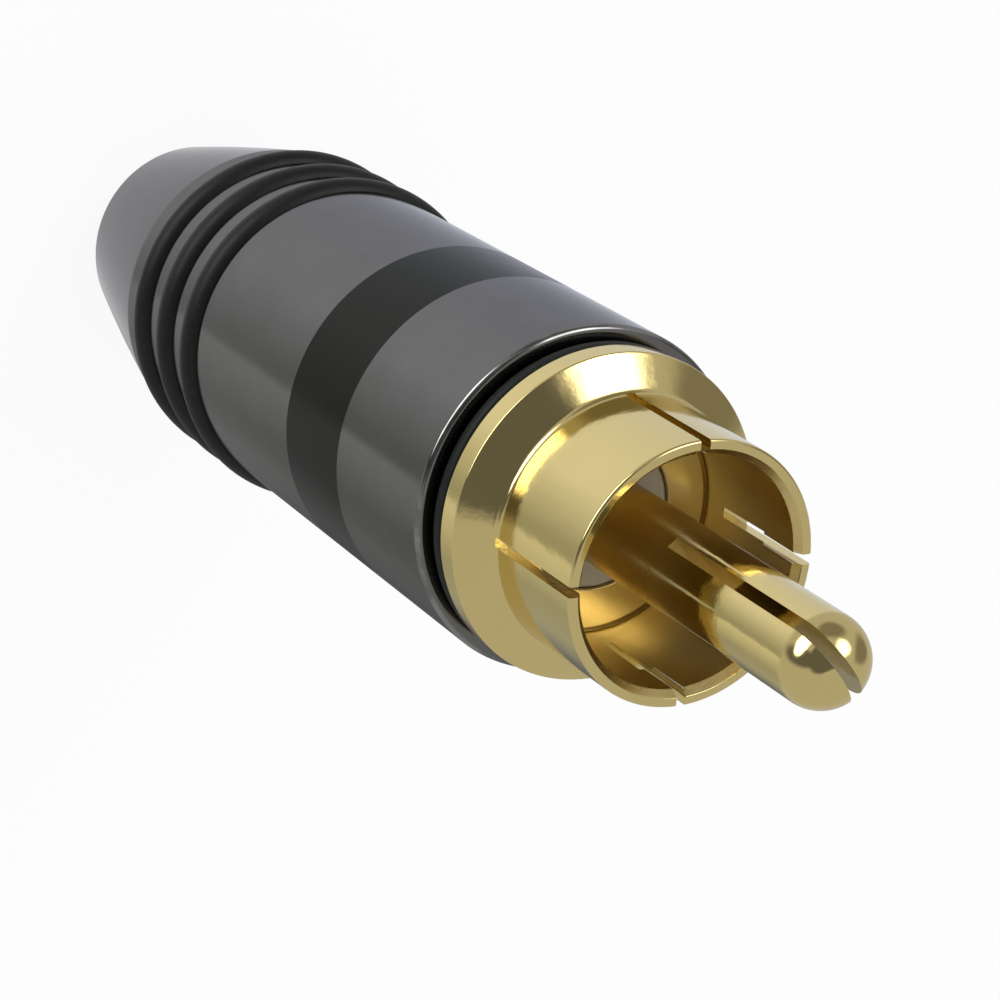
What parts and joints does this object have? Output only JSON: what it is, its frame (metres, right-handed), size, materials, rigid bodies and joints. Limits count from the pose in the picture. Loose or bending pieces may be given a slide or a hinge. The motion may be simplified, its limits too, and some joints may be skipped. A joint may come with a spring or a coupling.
{
  "type": "mini rca plug",
  "caption": "Straight RCA cable plug: slit centre pin in a sawn gold sleeve with a collar, screwed into a slim black nickel barrel with rubber grip rings.",
  "frame": {"origin": "centre of the tail face, the flat cable end of the barrel on which the plug stands", "axes": "+Z along the plug's axis, from the cable end to the tip of the pin; the sleeve's four slots lie at 45 degrees to X and Y, and the solder tag's strip is on the -Y side"},
  "size_m": [0.0136, 0.0136, 0.0513],
  "materials": {
    "black_nickel": "smooth black nickel plate, softly mirrored",
    "gold_plate": "bright pale gold plate over turned brass",
    "rubber": "black, satin",
    "insulation": "off-white nylon",
    "liner_film": "plain tube, matte"
  },
  "bodies": {
    "barrel": {"barrel": "black_nickel", "rear_ring": "rubber", "middle_ring": "rubber", "front_ring": "rubber", "liner": "liner_film"},
    "gasket": {"collar_gasket": "rubber"},
    "core": {"ground_contact": "gold_plate", "front_insulator": "insulation", "centre_pin": "gold_plate", "rear_insulator": "insulation", "ground_tag": "gold_plate"}
  },
  "joints": [
    {"name": "core_rise", "type": "slide", "parent": "barrel", "child": "gasket", "axis": [0, 0, 1], "range_m": [0, 0.0053]},
    {"name": "core_turn", "type": "hinge", "parent": "gasket", "child": "core", "pos_m": [0, 0, 0.0359], "axis": [0, 0, 1], "range_deg": [0, 2520]}
  ],
  "couplings": [
    {"joint": "core_rise", "follows": "core_turn", "m_per_rad": 0.00011937}
  ]
}
